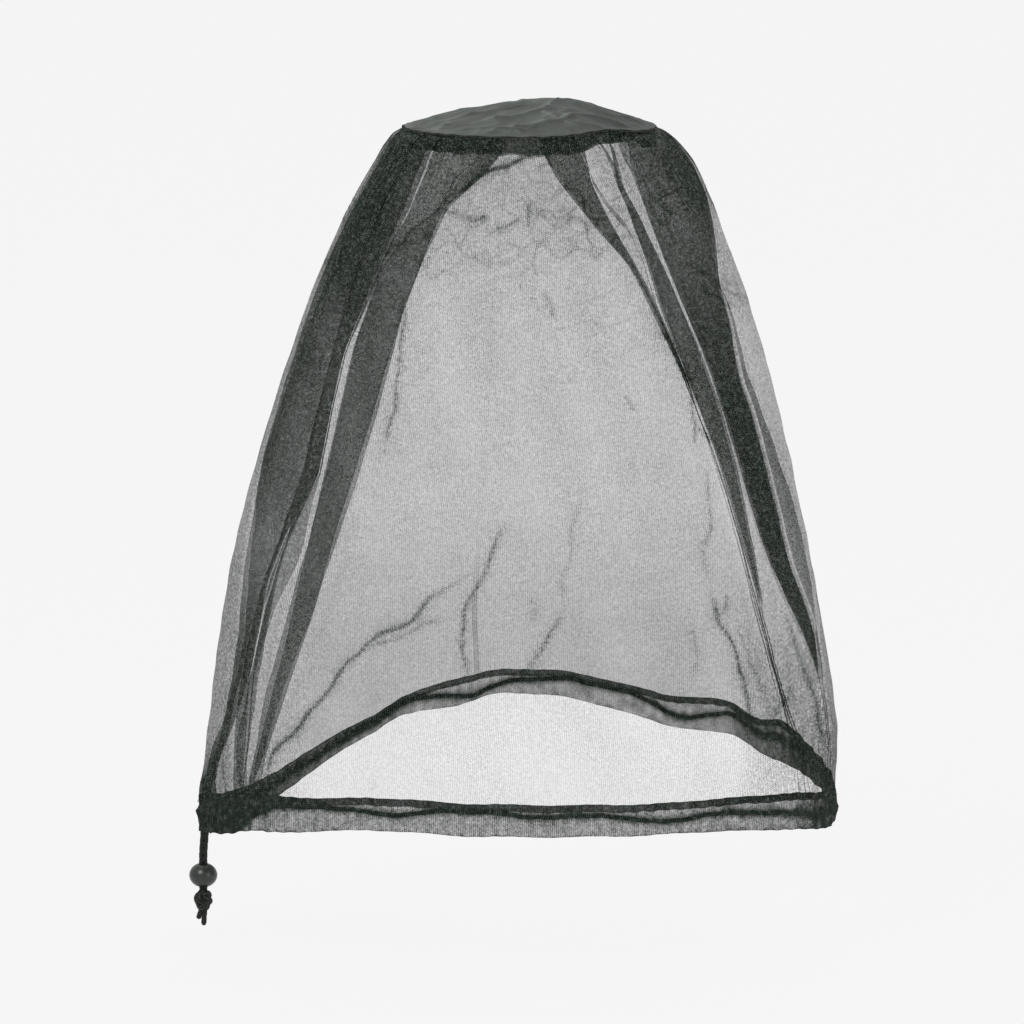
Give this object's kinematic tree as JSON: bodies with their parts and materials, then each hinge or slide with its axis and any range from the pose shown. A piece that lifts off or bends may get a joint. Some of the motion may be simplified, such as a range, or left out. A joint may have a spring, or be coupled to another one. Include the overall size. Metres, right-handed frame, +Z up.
{
  "type": "beekeeping veil",
  "caption": "Pull-over mesh head veil: woven crown disc, pleated see-through net and a cased hem closed by a drawcord with a cord ball.",
  "frame": {"origin": "centre of the flat ring on the underside of the crown, where the veil rests on a hat or head", "axes": "+Z up through the crown, -Y towards the face side, the cord hangs at the -X end of the hem"},
  "size_m": [0.425, 0.2516, 0.5442],
  "materials": {
    "crown_cloth": "plain woven polyester, slightly lustrous, wrinkled",
    "net": "fine warp-knitted net, see-through, matt",
    "folded_net": "several layers of the same net, nearly opaque",
    "thread": "spun polyester sewing thread",
    "cord": "braided round cord with a soft sheen",
    "ball": "moulded plastic, satin"
  },
  "bodies": {
    "crown": {"crown_panel": "crown_cloth", "crown_seam_allowance": "folded_net", "crown_stitching": "thread", "veil_mesh": "net", "closing_seam": "folded_net"},
    "hem": {"hem_casing": "net", "hem_turned_edge": "folded_net", "hem_stitching": "thread", "drawcord": "cord"},
    "pendant": {"pendant_cords": "cord", "cord_knot": "cord", "cord_tails": "cord"},
    "ball": {"cord_ball": "ball"}
  },
  "joints": [
    {"name": "hem_lift", "type": "slide", "parent": "crown", "child": "hem", "axis": [0, 0, 1], "range_m": [0, 0.2], "deforming": ["veil_mesh", "closing_seam"]},
    {"name": "pendant_swing", "type": "hinge", "parent": "hem", "child": "pendant", "pos_m": [-0.2137, 0, -0.463], "axis": [0, 1, 0], "range_deg": [-50, 50]},
    {"name": "ball_slide", "type": "slide", "parent": "pendant", "child": "ball", "axis": [0, 0, 1], "range_m": [0, 0.012]}
  ]
}
